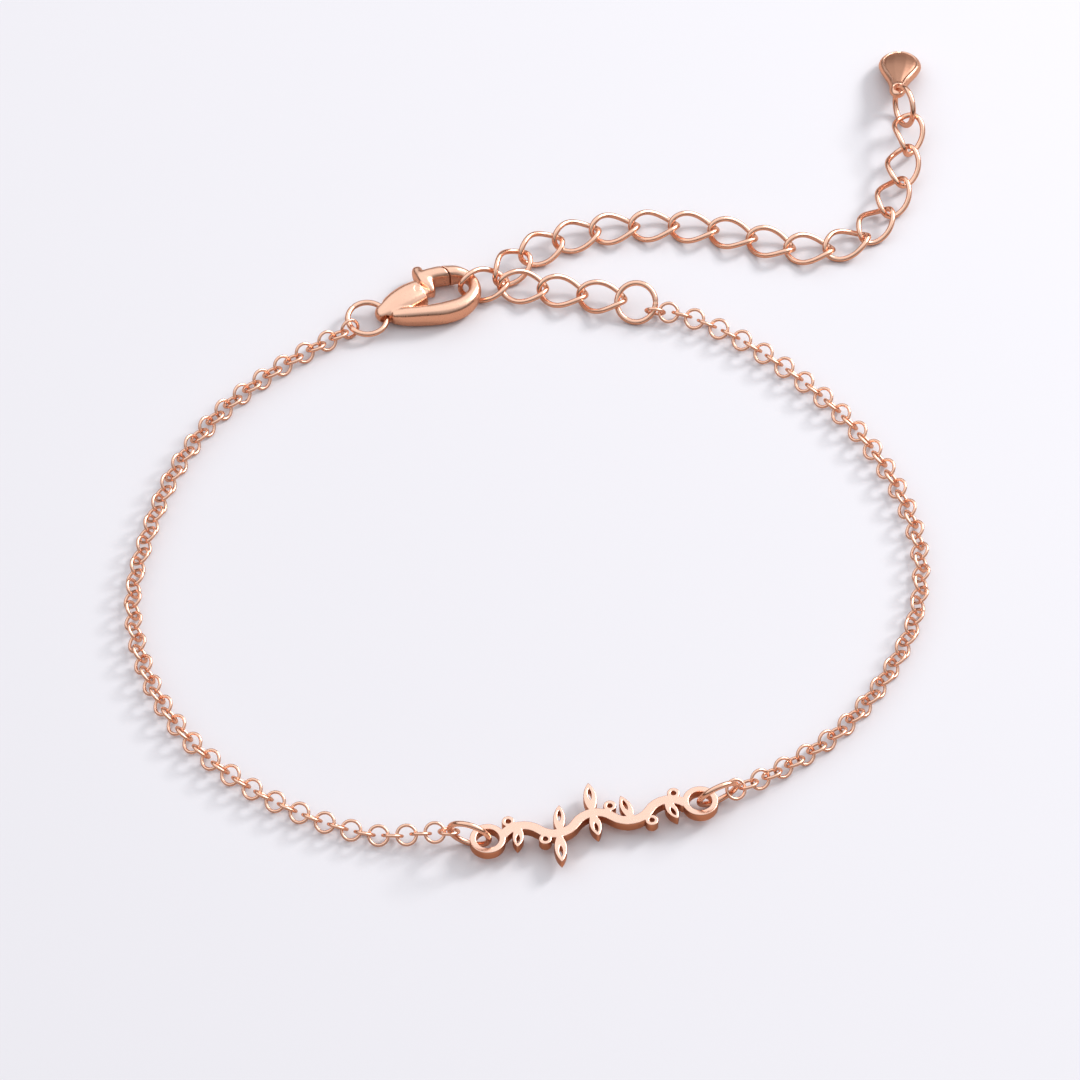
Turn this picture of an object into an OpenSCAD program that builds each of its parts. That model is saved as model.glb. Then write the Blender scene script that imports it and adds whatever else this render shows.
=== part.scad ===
// Nameplate bracelet with a cable chain, a curb extender and a lobster clasp.
// Millimetres, +Z up. The origin is the middle of the wrist opening on the face that it lies on.

/* [Nameplate] */
// Thickness of the pierced plate
plate_thick = 0.8; // [0.7:0.05:0.9]
// Distance between the middles of the two end eyes
plate_span = 15.4; // [15:0.1:15.8]
// Height of the plate's lower face above the floor
plate_lift = 0.6; // [0.55:0.05:0.7]
// Outer radius of an end eye
eye_r = 1.28; // [1.2:0.02:1.3]
// Radius of the hole in an end eye
eye_hole_r = 0.82; // [0.8:0.01:0.85]
// Width of the waving stem
stem_w = 0.72; // [0.6:0.04:0.8]
// Length of a leaf
leaf_len = 2.2; // [2:0.1:2.4]
// Width of a leaf
leaf_w = 0.95; // [0.85:0.05:1.05]
// Width of the pointed slit along a leaf
vein_w = 0.24; // [0.18:0.02:0.28]
// Radius of a berry
berry_r = 0.46; // [0.42:0.02:0.5]
// Radius of the hole in a berry
berry_hole_r = 0.18; // [0.14:0.02:0.22]

/* [Cable chain] */
// Radius of a round link, to the middle of its wire
link_r = 0.69; // [0.67:0.01:0.72]
// Radius of the link's wire
link_wire = 0.12; // [0.1:0.01:0.13]

/* [Jump rings] */
// Radius of a jump ring, to the middle of its wire
ring_r = 1.45; // [1.42:0.01:1.48]
// Radius of the jump ring's wire
ring_wire = 0.21; // [0.18:0.01:0.22]

/* [Extender] */
// Half length of a twisted link, to the middle of its wire
curb_half = 1.76; // [1.7:0.02:1.84]
// Half width of a twisted link, to the middle of its wire
curb_width = 1.16; // [1.1:0.02:1.22]
// Radius of the twisted link's wire
curb_wire = 0.2; // [0.18:0.01:0.21]
// Twist of a link from end to end, in degrees
curb_twist = 88; // [80:2:96]

/* [Clasp] */
// Length of the clasp's body from tail to hook
clasp_len = 8; // [7.9:0.05:8.1]
// Thickness of the clasp's body
clasp_thick = 1.9; // [1.8:0.05:2]
// Radius of the hole through the tail for the ring
tail_hole_r = 0.42; // [0.4:0.01:0.45]
// Width of the slot that the lever's tongue turns in
slot_w = 0.9; // [0.8:0.05:1]
// Radius of the pin that the lever turns on
pin_r = 0.18; // [0.16:0.01:0.2]

/* [Drop] */
// Length of the drop
drop_len = 6; // [5.8:0.05:6.2]
// Width of the drop's head
drop_w = 3.3; // [3.2:0.05:3.4]
// Thickness of the drop
drop_thick = 1.3; // [1.2:0.05:1.4]
// Radius of the hole in the drop's neck
drop_hole_r = 0.4; // [0.39:0.01:0.43]

/* [Hidden] */
LINKS = 18;

GOLD = "#e3ab90";
SHADE = "#c98c6d";

// Steps that a curve takes between two of its points
STEPS = 12;

// Routes of the two cable chains on the floor, from the back to the nameplate
LEFT_ROUTE = [
    [-18.1, 18.3], [-22.5, 13.9], [-25.5, 8.8], [-27.4, 2.9], [-28.4, -3],
    [-27.6, -8.8], [-25.2, -14.3], [-21.4, -18.8], [-16.4, -22.3], [-10.9, -24.4]
];
RIGHT_ROUTE = [
    [11.8, 23.1], [15.8, 20.9], [20.4, 16.9], [24.2, 12.3], [27, 7], [28.5, 1.2],
    [28.1, -4.7], [25.9, -10.2], [22.4, -15.2], [17.7, -19]
];
// Free route of the extender past the clasp, through the joints of its links
TAIL_ROUTE = [
    [-2.1, 26.6, 1.06], [-0.2, 28.8, 1], [2.4, 30.4, 0.9], [6.3, 31.7, 0.76], [12.1, 31.9, 0.72],
    [17.7, 30.5, 0.72], [20.9, 29.5, 0.72], [24.5, 30.3, 0.72], [26.6, 32.8, 0.76], [27.9, 35.6, 0.95],
    [28.9, 41.6, 1.5], [29.1, 46, 1.6]
];
// Route of the extender from the clasp to its round ring, through the joints of its links
HEAD_ROUTE = [[-1.7, 25.9, 0.34], [1.3, 25.65, 0.2], [4.2, 25.1, 0.15], [7, 24.4, 0.4], [9.5, 23.6, 0.6]];
// Headings, in degrees, that pieces take on the floor
PLATE_TURN = 12.4;
CLASP_TURN = 19.4;
HELD_TURN = 10;
// Places of the nameplate's middle and of the clasp on the floor
PLATE_AT = [4.83, -23.57];
CLASP_AT = [-7, 24.8];

// Gaps between pieces
FLOOR_GAP = 0.02;
LINK_PLAY = 0.12;
CURB_PLAY = 0.145;
PIN_GAP = 0.03;
LEVER_GAP = 0.06;

// Vectors and curves
function heading(v) = atan2(v.y, v.x);
function rise(v) = atan2(v.z, norm([v.x, v.y]));
function ahead(turn, lift = 0) = [cos(turn) * cos(lift), sin(turn) * cos(lift), sin(lift)];
function flat(p, z = 0) = [p.x, p.y, z];
function bend(a, b, c, d, t) =
    (2 * b + (c - a) * t + (2 * a - 5 * b + 4 * c - d) * t * t + (3 * b - a - 3 * c + d) * t * t * t) / 2;
function curve(p, steps = STEPS) =
    let (last = len(p) - 1, q = [2 * p[0] - p[1], each p, 2 * p[last] - p[last - 1]])
    [for (i = [1:last], k = [0:steps - 1]) bend(q[i - 1], q[i], q[i + 1], q[i + 2], k / steps), p[last]];

// Length of a curve up to each of its points, and the point that lies a given way along it
function ways(c) =
    [for (i = 0, s = 0; i < len(c); s = s + norm(c[min(i + 1, len(c) - 1)] - c[i]), i = i + 1) s];
function track(c) = let (s = ways(c)) [for (axis = [0:2]) [for (i = [0:len(c) - 1]) [s[i], c[i][axis]]]];
function spot(track, s) = [for (axis = [0:2]) lookup(s, track[axis])];
function moved(route, start) = [for (p = route) p + start - route[0]];

// Unit vector in the plane of a ring that heads one way and leans, turned round the ring from its heading
function in_ring(turn, lean, around) =
    cos(around) * ahead(turn) + sin(around) * (cos(lean) * ahead(turn + 90) + [0, 0, sin(lean)]);

// Puts a piece at a place: its middle, its heading, the rise of its long axis and the roll about it
module put(place) {
    translate(place[0]) rotate([place[3], -place[2], place[1]]) children();
}

// Round ring of wire in its own XY plane
module wire_ring(radius, wire) {
    rotate_extrude($fn = 48) translate([radius, 0]) circle(wire, $fn = 24);
}

// Outline of a rounded section with its two half sizes, from round to square as the power grows
function oval(across, up, sides, power) =
    [for (i = [0:sides - 1]) let (c = cos(360 * i / sides), s = sin(360 * i / sides))
        [across * sign(c) * pow(abs(c), 2 / power), up * sign(s) * pow(abs(s), 2 / power)]];

// Solid through a row of outlines that have as many points each
module skin(rings) {
    n = len(rings[0]);
    last = len(rings) - 1;
    polyhedron(
        points = [for (r = rings) each r],
        faces = [
            [for (i = [0:n - 1]) i],
            for (k = [0:last - 1], i = [0:n - 1]) let (j = (i + 1) % n) each [
                [k * n + j, k * n + i, (k + 1) * n + i],
                [(k + 1) * n + j, k * n + j, (k + 1) * n + i]
            ],
            [for (i = [n - 1:-1:0]) last * n + i]
        ]
    );
}

// Bar that follows rows of x, y, half width, half height and middle height, with rounded sections
module bar(rows, steps = 3, sides = 12, power = 2.6) {
    c = curve(rows, steps);
    last = len(c) - 1;
    skin([for (k = [0:last])
        let (r = c[k], way = heading(c[min(k + 1, last)] - c[max(k - 1, 0)]), across = ahead(way + 90))
        [for (p = oval(r[2], r[3], sides, power)) [r.x + p.x * across.x, r.y + p.x * across.y, r[4] + p.y]]]);
}

// Nameplate, in its own plane: x along its length, y up the vine
plate_mid = plate_lift + plate_thick / 2;
// Half waves of the stem, and the angle at which it crosses the middle line
WAVES = 5;
WAVE_ANGLE = 50;
STEM_STEPS = 8;
stem_span = plate_span - eye_r - eye_hole_r;
wave = stem_span / WAVES;
wave_r = wave / 2 / sin(WAVE_ANGLE);
wave_rise = wave_r * (1 - cos(WAVE_ANGLE));
function crest(i) = [(i + 0.5 - WAVES / 2) * wave, (i % 2 == 0 ? 1 : -1) * wave_rise];

// Leaves: half wave that the leaf grows from, its direction in degrees, and its length and width as shares
LEAVES = [
    // wave, direction, length, width
    [0, 255, 0.85, 0.85],
    [1, 78, 1.12, 0.9],
    [1, 262, 1.15, 0.95],
    [2, 270, 0.95, 0.9],
    [2, 84, 1.2, 1],
    [3, 100, 1.05, 0.9],
    [4, 285, 0.85, 0.85]
];
// Start and length of the slit along a leaf, as shares of the leaf's length
VEIN_AT = 0.42;
VEIN_LEN = 0.4;
// Berries: half wave that the berry grows on, degrees from its crest, and how far the berry's middle stands
// out from the stem's edge, as a share of its radius
BERRIES = [
    // wave, angle, out
    [0, -16, 0.57],
    [1, -28, 0.41],
    [2, 33, 0.8],
    [3, 33, 0.7],
    [4, 17, 0.4]
];

// Point of the stem's edge: half wave, angle from its crest, and distance to the left of the middle line
function stem_point(i, angle, aside) =
    let (up = i % 2 == 0 ? 1 : -1, r = wave_r + up * aside)
    [crest(i).x + r * sin(angle), up * (r * cos(angle) + wave_rise - wave_r)];

module stem() {
    turns = [for (k = [0:STEM_STEPS]) (2 * k / STEM_STEPS - 1) * WAVE_ANGLE];
    polygon([
        for (i = [0:WAVES - 1], angle = turns) stem_point(i, angle, stem_w / 2),
        for (i = [WAVES - 1:-1:0], angle = turns) stem_point(i, -angle, -stem_w / 2)
    ]);
}

// Leaf along +x from the origin: where two round outlines overlap
module leaf(length, width) {
    arc_r = (length * length / 4 + width * width / 4) / width;
    translate([length / 2, 0]) intersection() {
        translate([0, arc_r - width / 2]) circle(arc_r, $fn = 64);
        translate([0, width / 2 - arc_r]) circle(arc_r, $fn = 64);
    }
}

module place_leaf(row) {
    translate(crest(row[0])) rotate(row[1]) children();
}

module sheet(over = 0) {
    translate([0, 0, -over]) linear_extrude(plate_thick + 2 * over) children();
}

module eyes(radius, over = 0) {
    for (side = [-1, 1]) translate([side * plate_span / 2, 0]) sheet(over) circle(radius, $fn = 64);
}

function berry_at(row) =
    stem_point(row[0], row[1], (row[0] % 2 == 0 ? 1 : -1) * (stem_w / 2 + row[2] * berry_r));

module berries(radius, over = 0) {
    for (row = BERRIES) translate(berry_at(row)) sheet(over) circle(radius, $fn = 32);
}

module nameplate() {
    color(GOLD) translate(flat(PLATE_AT, plate_lift)) rotate(PLATE_TURN) difference() {
        union() {
            eyes(eye_r);
            sheet() stem();
            for (row = LEAVES) place_leaf(row) sheet() leaf(row[2] * leaf_len, row[3] * leaf_w);
            berries(berry_r);
        }
        eyes(eye_hole_r, 1);
        for (row = LEAVES) place_leaf(row) translate([VEIN_AT * row[2] * leaf_len, 0])
            sheet(1) leaf(VEIN_LEN * row[2] * leaf_len, vein_w);
        berries(berry_hole_r, 1);
    }
}

// Jump rings at the nameplate's eyes: heading, lean, and where the wire passes the hole's middle
LEFT_RING_TURN = -17;
LEFT_RING_LEAN = 100;
RIGHT_RING_TURN = 26;
RIGHT_RING_LEAN = 106;
LEFT_RING_SHIFT = [-0.04, -0.1, 0];
RIGHT_RING_SHIFT = [0, 0, 0];
// Last links of the chains: degrees round the ring that holds the link, the link's roll, and gap to its wire
LEFT_HOLD_ANGLE = 195;
LEFT_HOLD_ROLL = -38;
LEFT_HOLD_GAP = 0.23;
RIGHT_HOLD_ANGLE = -20;
RIGHT_HOLD_ROLL = -40;
RIGHT_HOLD_GAP = 0.2;
CLASP_HOLD_ANGLE = 198;
CLASP_HOLD_ROLL = -68;
CLASP_HOLD_GAP = 0.2;
EXTENDER_HOLD_ANGLE = -20;
EXTENDER_HOLD_ROLL = -65;
EXTENDER_HOLD_GAP = 0.25;

// Middle of the last link of a chain, held by a ring
function held_link(ring_at, turn, lean, around, gap) =
    ring_at + (ring_r - ring_wire - gap - link_wire + link_r) * in_ring(turn, lean, around);

// Middle of a jump ring that stands on the floor and passes through the eye on one side of the plate
function eye_ring(side, turn, lean, shift) =
    let (
        eye = flat(PLATE_AT, 0) + side * plate_span / 2 * ahead(PLATE_TURN),
        up = ring_r * sin(lean) + ring_wire + FLOOR_GAP,
        dip = asin((plate_mid - up) / ring_r / sin(lean)),
        pass = ring_r * in_ring(turn, lean, side > 0 ? 180 - dip : dip)
    ) flat(eye + shift - pass, up);

left_ring = eye_ring(-1, LEFT_RING_TURN, LEFT_RING_LEAN, LEFT_RING_SHIFT);
right_ring = eye_ring(1, RIGHT_RING_TURN, RIGHT_RING_LEAN, RIGHT_RING_SHIFT);

module jump_ring_left() {
    color(GOLD) put([left_ring, LEFT_RING_TURN, 0, LEFT_RING_LEAN]) wire_ring(ring_r, ring_wire);
}

module jump_ring_right() {
    color(GOLD) put([right_ring, RIGHT_RING_TURN, 0, RIGHT_RING_LEAN]) wire_ring(ring_r, ring_wire);
}

// Clasp, in its own frame: x from tail to hook, y to the lever's side. Rows hold shares of the clasp's
// length for x, y and half width, and of its thickness for half height and middle height.
HOUSING = [
    // x, y, half width, half height, middle height
    [-0.563, -0.042, 0.03, 0.12, 0.43],
    [-0.535, -0.038, 0.07, 0.26, 0.43],
    [-0.455, -0.024, 0.104, 0.37, 0.44],
    [-0.35, 0.007, 0.131, 0.45, 0.48],
    [-0.238, 0.037, 0.144, 0.49, 0.5],
    [-0.15, 0.058, 0.14, 0.5, 0.5],
    [-0.078, 0.075, 0.13, 0.49, 0.5]
];
HOOK = [
    // x, y, half width, half height, middle height
    [-0.42, -0.097, 0.058, 0.31, 0.48],
    [-0.31, -0.146, 0.07, 0.42, 0.5],
    [-0.125, -0.198, 0.074, 0.47, 0.5],
    [0.063, -0.226, 0.087, 0.47, 0.5],
    [0.235, -0.214, 0.08, 0.44, 0.52],
    [0.362, -0.135, 0.067, 0.37, 0.58],
    [0.408, -0.01, 0.055, 0.28, 0.58],
    [0.378, 0.1, 0.054, 0.3, 0.565],
    [0.298, 0.162, 0.067, 0.42, 0.54],
    [0.235, 0.184, 0.072, 0.45, 0.52],
    [0.17, 0.198, 0.073, 0.46, 0.52],
    [0.13, 0.204, 0.07, 0.46, 0.52]
];
KNOB = [
    // x, y, half width, half height, middle height
    [-0.03, 0.362, 0.03, 0.16, 0.5],
    [-0.034, 0.338, 0.05, 0.28, 0.5],
    [-0.04, 0.285, 0.056, 0.34, 0.5],
    [-0.024, 0.222, 0.07, 0.42, 0.5],
    [-0.004, 0.15, 0.075, 0.42, 0.5],
    [0.012, 0.08, 0.05, 0.36, 0.5],
    [0.018, 0.02, 0.024, 0.24, 0.5]
];
ARM = [
    // x, y, half width, half height, middle height
    [-0.04, 0.2, 0.06, 0.36, 0.5],
    [0.01, 0.21, 0.078, 0.44, 0.51],
    [0.07, 0.212, 0.074, 0.45, 0.52],
    [0.14, 0.204, 0.074, 0.46, 0.52],
    [0.2, 0.192, 0.073, 0.46, 0.52],
    [0.25, 0.18, 0.072, 0.45, 0.52]
];
// Middles of the tail's hole and of the pin, as shares of the clasp's length
TAIL_HOLE = [-0.482, -0.036];
PIN_AT = [-0.12, 0.056];
// Radius of the lever's tongue about the pin, where the tongue meets the knob, and side of the slot that
// it turns in, as shares of the clasp's length
TONGUE = 0.062;
TONGUE_ROOT = [[0.006, 0.04], [0, 0.14]];
SLOT_SIDE = 0.25;
// Reach of the lever's arm from the pin, where its end meets the hook's, as a share of the clasp's length
ARM_REACH = 0.34;

// Rows of a table at the clasp's size, and the place on the floor of a point of the clasp
function sized(rows) =
    [for (r = rows) [each clasp_len * [r[0], r[1], r[2]], each clasp_thick * [r[3], r[4]]]];
function clasp_point(share, z) =
    flat(CLASP_AT, z) + clasp_len * (share.x * ahead(CLASP_TURN) + share.y * ahead(CLASP_TURN + 90));

CLASP_RING_LEAN = 4;
tongue_gap = 0.1;
arm_gap = 0.09;
clasp_mid = clasp_thick / 2;
tail_mid = HOUSING[1][4] * clasp_thick;
tail_half = HOUSING[2][2] * clasp_len;
pin_at = PIN_AT * clasp_len;
tongue_r = TONGUE * clasp_len;
slot_at = pin_at - (tongue_r + tongue_gap) * [1, 1];

module pin_bore(gap) {
    translate([pin_at.x, pin_at.y, -1]) cylinder(r = pin_r + gap, h = clasp_thick + 2, $fn = 32);
}

// All that the arm can reach as it turns about the pin
module arm_sweep(gap) {
    translate([pin_at.x, pin_at.y, -1]) cylinder(r = ARM_REACH * clasp_len + gap, h = clasp_thick + 2, $fn = 96);
}

module clasp_body() {
    color(GOLD) translate(flat(CLASP_AT)) rotate(CLASP_TURN) difference() {
        union() {
            difference() {
                bar(sized(HOUSING));
                translate(flat(slot_at, clasp_mid - slot_w / 2))
                    cube([SLOT_SIDE * clasp_len, SLOT_SIDE * clasp_len, slot_w]);
            }
            difference() {
                bar(sized(HOOK));
                intersection() {
                    arm_sweep(arm_gap);
                    translate([0, 0, -1]) cube([clasp_len, clasp_len, clasp_thick + 2]);
                }
            }
        }
        translate(flat(TAIL_HOLE * clasp_len, tail_mid)) rotate([90 + CLASP_RING_LEAN, 0, 0])
            cylinder(r = tail_hole_r, h = clasp_len / 2, center = true, $fn = 32);
        pin_bore(PIN_GAP);
    }
}

module clasp_pin() {
    end_gap = 0.08;
    color(SHADE) translate(flat(CLASP_AT)) rotate(CLASP_TURN) translate([pin_at.x, pin_at.y, end_gap])
        cylinder(r = pin_r, h = clasp_thick - 2 * end_gap, $fn = 32);
}

module clasp_lever() {
    color(GOLD) translate(flat(CLASP_AT)) rotate(CLASP_TURN) difference() {
        union() {
            bar(sized(KNOB));
            intersection() {
                bar(sized(ARM));
                arm_sweep(0);
            }
            translate([0, 0, clasp_mid - slot_w / 2 + tongue_gap]) linear_extrude(slot_w - 2 * tongue_gap) {
                translate(pin_at) circle(tongue_r, $fn = 32);
                polygon([pin_at + [0, tongue_r], pin_at - [0, tongue_r], each TONGUE_ROOT * clasp_len]);
            }
        }
        pin_bore(LEVER_GAP);
    }
}

// Ring through the clasp's tail: the curve of its wire stays in the middle of the hole
tail_bow = (ring_r - sqrt(ring_r * ring_r - tail_half * tail_half)) / 2;
clasp_ring_at = clasp_point(TAIL_HOLE, tail_mid) - (ring_r - tail_bow) * ahead(CLASP_TURN);

module clasp_ring() {
    color(GOLD) put([clasp_ring_at, CLASP_TURN, 0, CLASP_RING_LEAN]) wire_ring(ring_r, ring_wire);
}

// Point of a twisted link's wire, round the link from its pointed end
function curb_point(t, roll = 0) =
    let (turn = roll - curb_twist / 2 * cos(t), side = curb_width * sin(t))
    [curb_half * cos(t), side * cos(turn), side * sin(turn)];
// Height of a link's middle when it lies on the floor at a roll
function curb_height(roll) = curb_wire - min([for (t = [0:15:345]) curb_point(t, roll).z]);

module curb_link(around = 20, sides = 6) {
    path = [for (i = [0:around - 1]) curb_point(360 * i / around)];
    rings = [for (i = [0:around - 1])
        let (
            way = path[(i + 1) % around] - path[(i + around - 1) % around],
            side = cross(way, path[i]) / norm(cross(way, path[i])),
            out = cross(side, way) / norm(cross(side, way))
        )
        [for (k = [0:sides - 1])
            let (turn = 360 * k / sides)
            path[i] + curb_wire * (cos(turn) * out + sin(turn) * side)]];
    polyhedron(
        points = [for (r = rings) each r],
        faces = [for (i = [0:around - 1], k = [0:sides - 1])
            let (j = (i + 1) % around, m = (k + 1) % sides)
            each [[i * sides + m, i * sides + k, j * sides + k], [j * sides + m, i * sides + m, j * sides + k]]]
    );
}

// The link that the hook holds, with its neighbours on both sides in its pointed end
HELD = 4;
HELD_ROLL = 34;
// Its distance from the middle line of the clasp, as a share of the clasp's length, and its gap to the hook
HELD_ASIDE = -0.03;
HOOK_PLAY = 0.42;
// Joints of its two neighbours from its tip, towards the round ring and towards the free end
HEAD_START = [-0.1, -0.3, 0.34];
TAIL_START = [-0.5, 0.35, 0.36];
// Rolls of the links towards the round ring, roll of a link that lies flat, and the number of links past
// the hook over which the roll fades to it
HEAD_ROLLS = [-156, -168, -166];
FLAT_ROLL = 6;
ROLL_FADE = 3;
// Roll of the last link, which the drop's ring turns
END_ROLL = 30;
curb_pitch = 2 * (curb_half - curb_wire) - CURB_PLAY;
hook_inside = (HOOK[6][0] - HOOK[6][2]) * clasp_len;
held_along = hook_inside - HOOK_PLAY - curb_wire + curb_half;
held_at = clasp_point([held_along / clasp_len, HELD_ASIDE], curb_height(HELD_ROLL));
held_tip = held_at + (curb_half - curb_wire) * ahead(HELD_TURN);

// Places of links that follow each other along a route from its start
function curb_places(route, rolls) =
    let (t = track(curve(route)))
    [for (k = [0:len(rolls) - 1])
        let (a = spot(t, k * curb_pitch), b = spot(t, (k + 1) * curb_pitch))
        [(a + b) / 2 + [0, 0, curb_height(FLAT_ROLL)], heading(b - a), rise(b - a), rolls[k]]];

head_route = moved(HEAD_ROUTE, flat(held_tip) + HEAD_START);
tail_route = moved(TAIL_ROUTE, flat(held_tip) + TAIL_START);
tail_links = LINKS - HELD;
tail_rolls = [for (k = [0:tail_links - 1])
    k == tail_links - 1 ? END_ROLL : FLAT_ROLL + (HELD_ROLL - FLAT_ROLL) * max(0, 1 - k / ROLL_FADE)];
head_places = curb_places(head_route, HEAD_ROLLS);
tail_places = curb_places(tail_route, tail_rolls);

function curb_place(i) =
    i < HELD ? head_places[HELD - 1 - i]
    : i == HELD ? [held_at, HELD_TURN, 0, HELD_ROLL]
    : tail_places[i - HELD - 1];

module extender_link(i) {
    color(GOLD) put(curb_place(i)) curb_link();
}

// Round ring between the extender and the right chain: heading, lean and rise, how far its wire passes
// behind the last joint of the extender, and its gap to the floor
EXTENDER_RING_TURN = -7;
EXTENDER_RING_LEAN = 38;
EXTENDER_RING_RISE = 7;
EXTENDER_RING_BACK = 0.3;
EXTENDER_RING_GAP = 0.05;
extender_ring_up = ring_r * sin(EXTENDER_RING_LEAN) + ring_wire + EXTENDER_RING_GAP;
head_end = spot(track(curve(head_route)), (HELD - 1) * curb_pitch);
extender_ring_at = flat(head_end, extender_ring_up)
    + (ring_r - EXTENDER_RING_BACK) * ahead(heading(head_end - head_route[2]));

module extender_ring() {
    color(GOLD) put([extender_ring_at, EXTENDER_RING_TURN, EXTENDER_RING_RISE, EXTENDER_RING_LEAN])
        wire_ring(ring_r, ring_wire);
}

// Ring and drop at the free end: how far the ring's wire passes behind the last joint, and the headings,
// the ring's lean and the drop's tilt
DROP_RING_BACK = 0.32;
DROP_RING_TURN = 112;
DROP_RING_LEAN = 103;
DROP_TURN = 85;
DROP_TILT = 17;
drop_ring_up = ring_r * sin(DROP_RING_LEAN) + ring_wire + FLOOR_GAP;
tail_end = spot(track(curve(tail_route)), tail_links * curb_pitch);
drop_ring_at = flat(tail_end, drop_ring_up) + (ring_r - DROP_RING_BACK) * ahead(DROP_RING_TURN);

module drop_ring() {
    color(GOLD) put([drop_ring_at, DROP_RING_TURN, 0, DROP_RING_LEAN]) wire_ring(ring_r, ring_wire);
}

// Sections of the drop from its neck to its head, as shares of its length, width and thickness
DROP = [
    // along, half width, half thickness
    [0, 0.06, 0.12],
    [0.03, 0.13, 0.24],
    [0.1, 0.185, 0.32],
    [0.2, 0.195, 0.34],
    [0.33, 0.25, 0.39],
    [0.48, 0.37, 0.45],
    [0.64, 0.48, 0.5],
    [0.78, 0.48, 0.5],
    [0.9, 0.36, 0.44],
    [0.97, 0.2, 0.3],
    [1, 0.06, 0.12]
];
// Place of the hole along the drop, and the points and power of its rounded sections
DROP_HOLE = 0.13;
DROP_SIDES = 14;
DROP_POWER = 2.3;
// Sections along the drop from its hole, and the height of the hole with the head on the floor
drop_rows = [for (r = curve(DROP, 2)) [(r[0] - DROP_HOLE) * drop_len, r[1] * drop_w, r[2] * drop_thick]];
drop_up = FLOOR_GAP + max([for (r = drop_rows) r[0] * sin(DROP_TILT) + r[2] * cos(DROP_TILT)]);

module drop() {
    around = asin((drop_up - drop_ring_up) / ring_r / sin(DROP_RING_LEAN));
    hole_at = drop_ring_at + ring_r * in_ring(DROP_RING_TURN, DROP_RING_LEAN, around);
    color(GOLD) difference() {
        put([hole_at, DROP_TURN, -DROP_TILT, 0])
            skin([for (r = drop_rows) [for (p = oval(r[1], r[2], DROP_SIDES, DROP_POWER)) [r[0], p.x, p.y]]]);
        put([drop_ring_at, DROP_RING_TURN, 0, DROP_RING_LEAN]) rotate(around) translate([ring_r, 0])
            rotate([90, 0, 0]) cylinder(r = drop_hole_r, h = 2 * drop_thick, center = true, $fn = 32);
    }
}

// Cable chains of round links, seen open and edge on by turns
LINK_ROLL = 37;
function link_height(roll) = link_r * abs(sin(roll)) + link_wire + FLOOR_GAP;
link_up = link_height(LINK_ROLL - 90);
// Links over which a chain climbs to the ring that holds it
CLIMB = 5;

// Places of the links from a start to an end, with an even number of steps and the end links' own rolls
function chain_places(start, route, end, start_roll, end_roll) =
    let (
        c = curve([flat(start), each [for (p = route) flat(p)], flat(end)]),
        t = track(c),
        s = ways(c),
        length = s[len(s) - 1],
        steps = 2 * ceil(length / (2 * (link_r - link_wire) - LINK_PLAY) / 2),
        pitch = length / steps
    )
    [for (k = [0:steps])
        let (
            way = spot(t, k * pitch + link_r / 4) - spot(t, k * pitch - link_r / 4),
            up = link_up + max(0, 1 - k / CLIMB) * (start.z - link_up)
                + max(0, 1 - (steps - k) / CLIMB) * (end.z - link_up),
            roll = k == 0 ? start_roll : k == steps ? end_roll : k % 2 == 0 ? LINK_ROLL - 90 : LINK_ROLL
        )
        [flat(spot(t, k * pitch), max(up, link_height(roll))), heading(way), 0, roll]];

module chain(places) {
    color(GOLD) for (place = places) put(place) wire_ring(link_r, link_wire);
}

left_places = chain_places(
    held_link(clasp_ring_at, CLASP_TURN, CLASP_RING_LEAN, CLASP_HOLD_ANGLE, CLASP_HOLD_GAP), LEFT_ROUTE,
    held_link(left_ring, LEFT_RING_TURN, LEFT_RING_LEAN, LEFT_HOLD_ANGLE, LEFT_HOLD_GAP),
    CLASP_HOLD_ROLL, LEFT_HOLD_ROLL
);
right_places = chain_places(
    held_link(
        extender_ring_at, EXTENDER_RING_TURN, EXTENDER_RING_LEAN, EXTENDER_HOLD_ANGLE, EXTENDER_HOLD_GAP
    ),
    RIGHT_ROUTE,
    held_link(right_ring, RIGHT_RING_TURN, RIGHT_RING_LEAN, RIGHT_HOLD_ANGLE, RIGHT_HOLD_GAP),
    EXTENDER_HOLD_ROLL, RIGHT_HOLD_ROLL
);

module chain_left() {
    chain(left_places);
}

module chain_right() {
    chain(right_places);
}

nameplate();
jump_ring_left();
jump_ring_right();
chain_left();
chain_right();
extender_ring();
for (i = [1:LINKS]) extender_link(i);
drop_ring();
drop();
clasp_ring();
clasp_body();
clasp_pin();
clasp_lever();
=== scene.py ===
"""Looks of a fine rose gold bracelet that lies closed on a pale floor.

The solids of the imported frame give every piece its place. Wires, plate, clasp and drop are made here as
smooth meshes in those places, and all metal gets a procedural polished finish.
"""

import logging
import math
from dataclasses import dataclass
from enum import Enum
from typing import Callable, Iterable

import bpy
import numpy as np
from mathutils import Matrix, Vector


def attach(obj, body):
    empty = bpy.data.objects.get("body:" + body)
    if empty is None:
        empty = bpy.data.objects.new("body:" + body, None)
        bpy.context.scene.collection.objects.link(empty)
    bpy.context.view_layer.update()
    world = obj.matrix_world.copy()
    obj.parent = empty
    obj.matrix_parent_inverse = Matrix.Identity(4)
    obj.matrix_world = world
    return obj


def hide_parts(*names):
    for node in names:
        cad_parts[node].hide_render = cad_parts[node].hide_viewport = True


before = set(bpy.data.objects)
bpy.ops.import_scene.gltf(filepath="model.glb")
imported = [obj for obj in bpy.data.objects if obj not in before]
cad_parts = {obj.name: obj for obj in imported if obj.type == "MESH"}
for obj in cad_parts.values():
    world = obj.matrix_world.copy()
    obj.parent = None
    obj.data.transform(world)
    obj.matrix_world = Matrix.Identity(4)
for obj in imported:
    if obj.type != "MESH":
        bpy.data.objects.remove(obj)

MM = 0.001
DOUBLE = 2e-7            # points this near each other are one, in metres
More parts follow.
